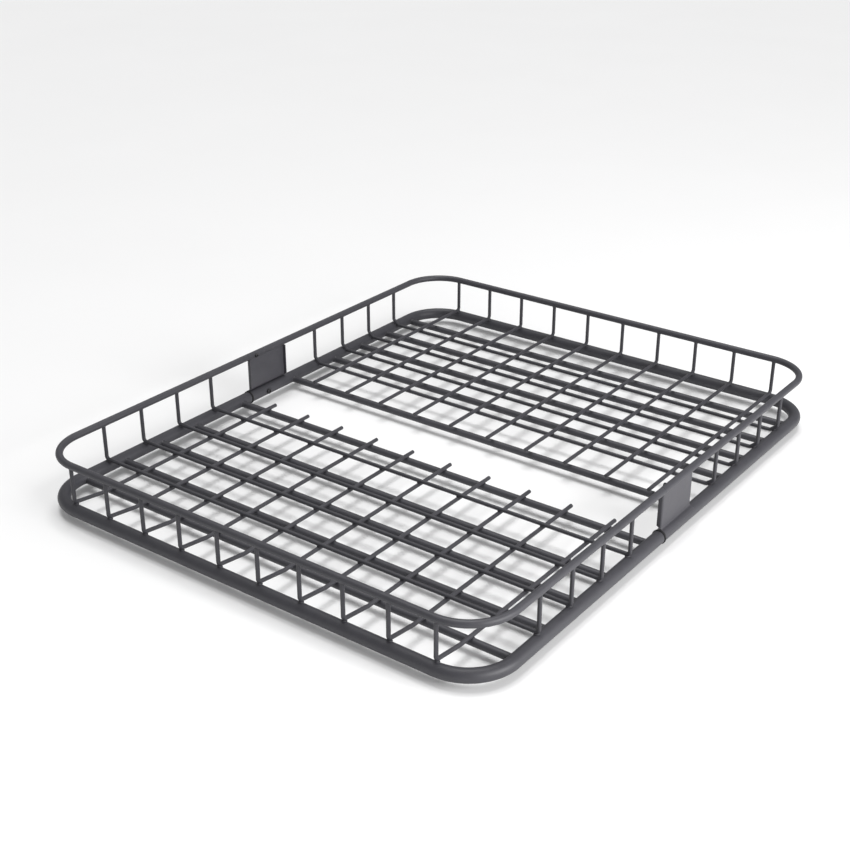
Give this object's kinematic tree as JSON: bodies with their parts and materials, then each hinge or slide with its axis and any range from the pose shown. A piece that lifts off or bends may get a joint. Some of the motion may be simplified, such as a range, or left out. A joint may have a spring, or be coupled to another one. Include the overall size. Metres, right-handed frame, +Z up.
{
  "type": "roof cargo basket",
  "caption": "Low-walled steel basket for carrying luggage on a vehicle's roof bars: tube rails, wire walls and a slatted wire floor, in front and rear frames that plug together.",
  "frame": {"origin": "centre of the footprint, on the surface the basket lies on", "axes": "+X across the vehicle, +Y along it towards the rear half of the basket, +Z up"},
  "size_m": [0.9168, 1.118, 0.1005],
  "materials": {
    "powder_coat": "satin, fine texture",
    "collar_rubber": "matt",
    "screw_steel": "black plated",
    "splice_steel": "bare, inside the rails"
  },
  "bodies": {
    "root": {"cross_wire_front_01": "powder_coat", "cross_wire_front_02": "powder_coat", "cross_wire_front_03": "powder_coat", "cross_wire_front_04": "powder_coat", "cross_wire_rear_01": "powder_coat", "cross_wire_rear_02": "powder_coat", "cross_wire_rear_03": "powder_coat", "cross_wire_rear_04": "powder_coat", "joint_collar_left": "collar_rubber", "joint_collar_right": "collar_rubber", "long_wire_front_01": "powder_coat", "long_wire_front_02": "powder_coat", "long_wire_front_03": "powder_coat", "long_wire_front_04": "powder_coat", "long_wire_front_05": "powder_coat", "long_wire_front_06": "powder_coat", "long_wire_front_07": "powder_coat", "long_wire_front_08": "powder_coat", "long_wire_front_09": "powder_coat", "long_wire_front_10": "powder_coat", "long_wire_rear_01": "powder_coat", "long_wire_rear_02": "powder_coat", "long_wire_rear_03": "powder_coat", "long_wire_rear_04": "powder_coat", "long_wire_rear_05": "powder_coat", "long_wire_rear_06": "powder_coat", "long_wire_rear_07": "powder_coat", "long_wire_rear_08": "powder_coat", "long_wire_rear_09": "powder_coat", "long_wire_rear_10": "powder_coat", "lower_joint_screw_left": "screw_steel", "lower_joint_screw_right": "screw_steel", "lower_rail_front": "powder_coat", "lower_rail_rear": "powder_coat", "lower_splice_left": "splice_steel", "lower_splice_right": "splice_steel", "side_plate_left": "powder_coat", "side_plate_right": "powder_coat", "slat_01": "powder_coat", "slat_02": "powder_coat", "slat_03": "powder_coat", "slat_04": "powder_coat", "slat_05": "powder_coat", "slat_06": "powder_coat", "slat_07": "powder_coat", "slat_08": "powder_coat", "slat_09": "powder_coat", "slat_10": "powder_coat", "top_joint_screw_left": "screw_steel", "top_joint_screw_right": "screw_steel", "top_rail_front": "powder_coat", "top_rail_rear": "powder_coat", "top_splice_left": "splice_steel", "top_splice_right": "splice_steel"}
  },
  "joints": []
}
